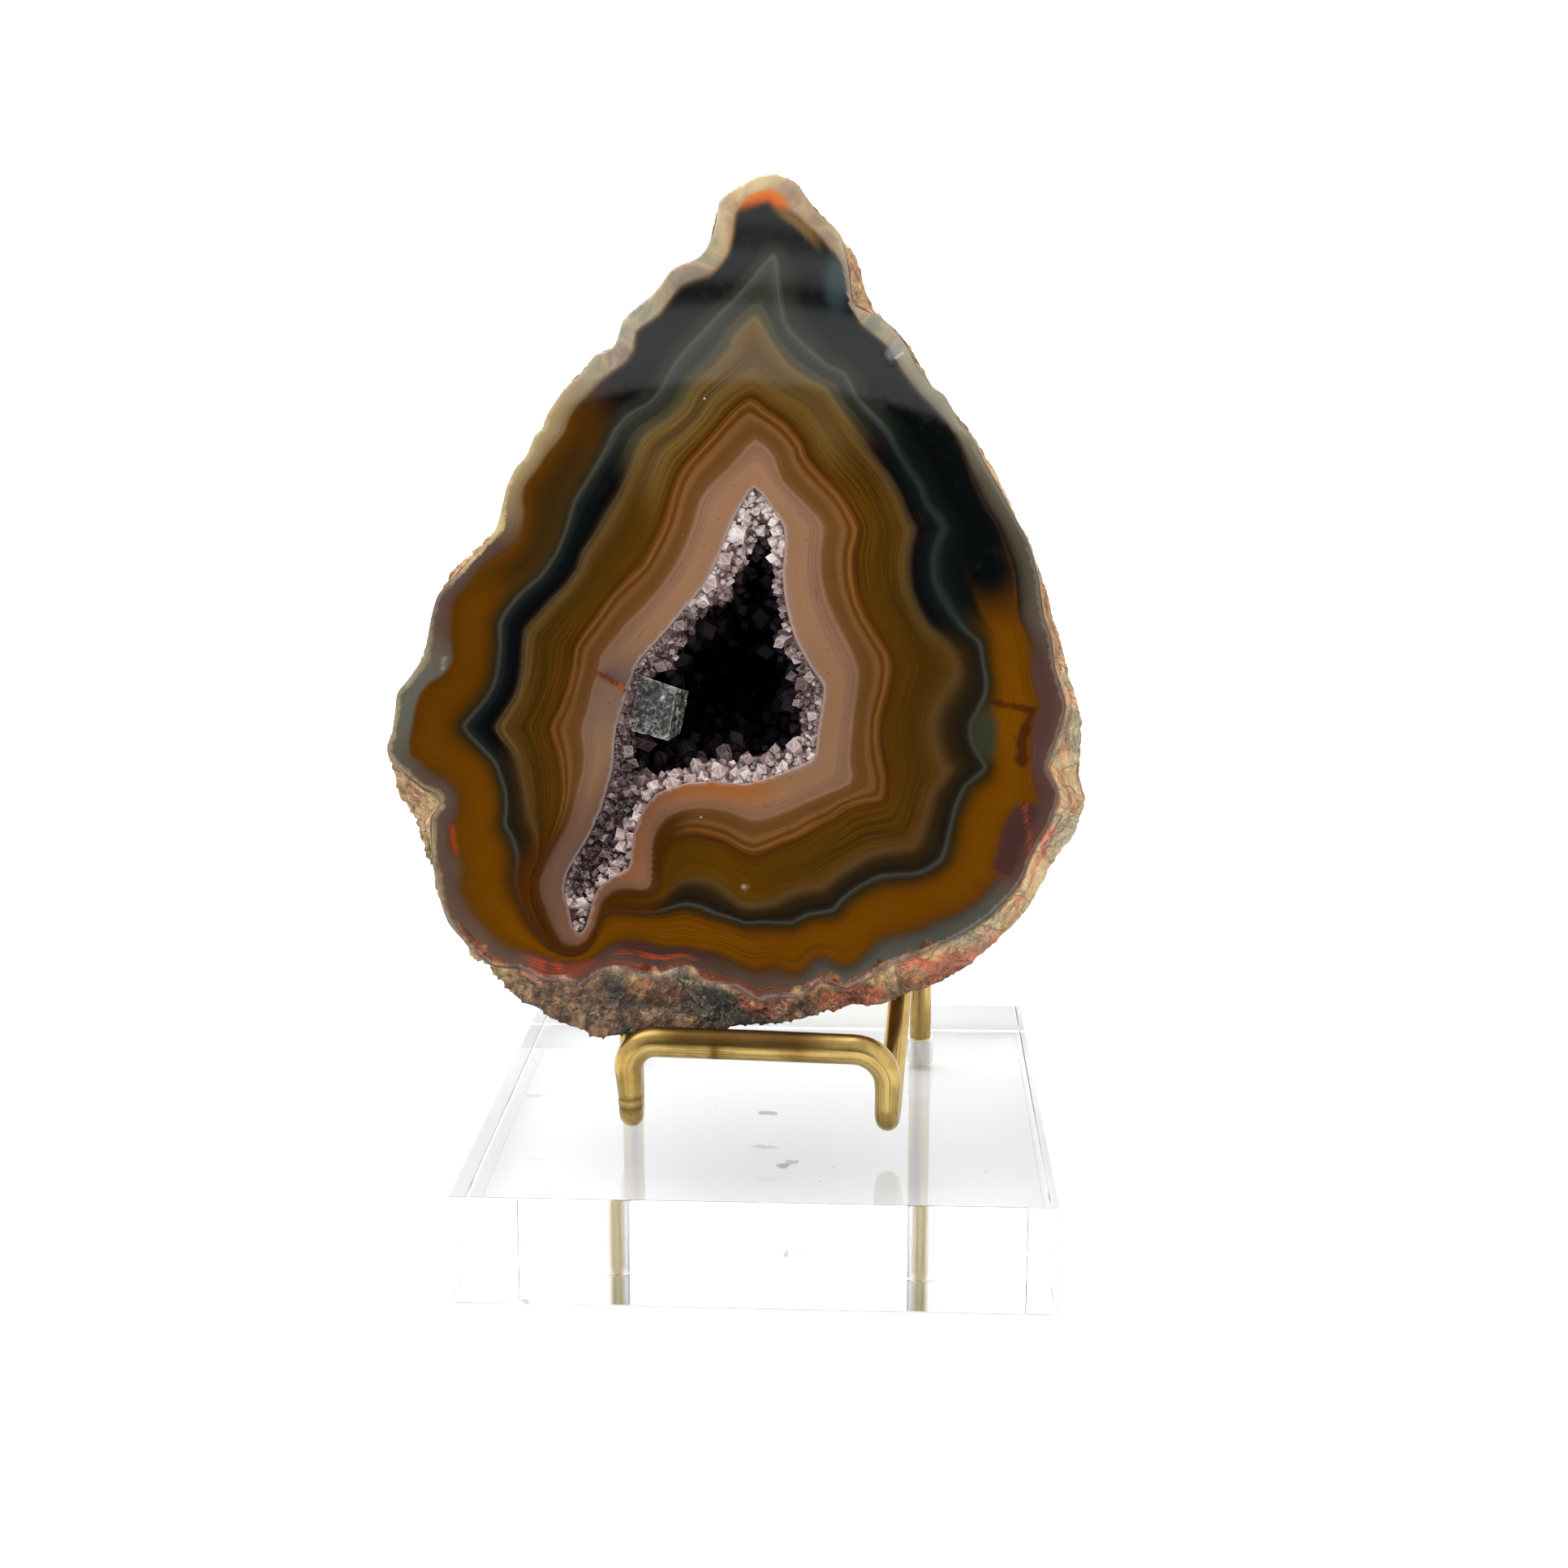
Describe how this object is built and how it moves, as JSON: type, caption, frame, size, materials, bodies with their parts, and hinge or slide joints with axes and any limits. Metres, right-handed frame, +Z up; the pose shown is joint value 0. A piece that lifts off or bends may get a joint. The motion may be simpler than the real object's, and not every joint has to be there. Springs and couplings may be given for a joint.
{
  "type": "polished agate on a stand",
  "caption": "Polished half of a banded agate nodule with a crystal-lined hollow, leaning on a bent brass wire easel that stands in a clear block.",
  "frame": {"origin": "centre of the clear block's underside", "axes": "+Z up, the polished face looks towards -Y and leans back 12 degrees, +X to the viewer's right"},
  "size_m": [0.0918, 0.0762, 0.1396],
  "materials": {
    "agate": "mirror-polished banded chalcedony on the face, rough weathered rind outside",
    "crystal_crust": "glassy quartz points, pale lilac at the rim and dark amethyst inside, with one grey cube",
    "brass": "bright drawn wire with light scratches and tool marks",
    "acrylic": "clear polished acrylic"
  },
  "bodies": {
    "root": {"agate": "agate", "crystal_crust": "crystal_crust", "brass_easel": "brass", "acrylic_base": "acrylic"}
  },
  "joints": []
}
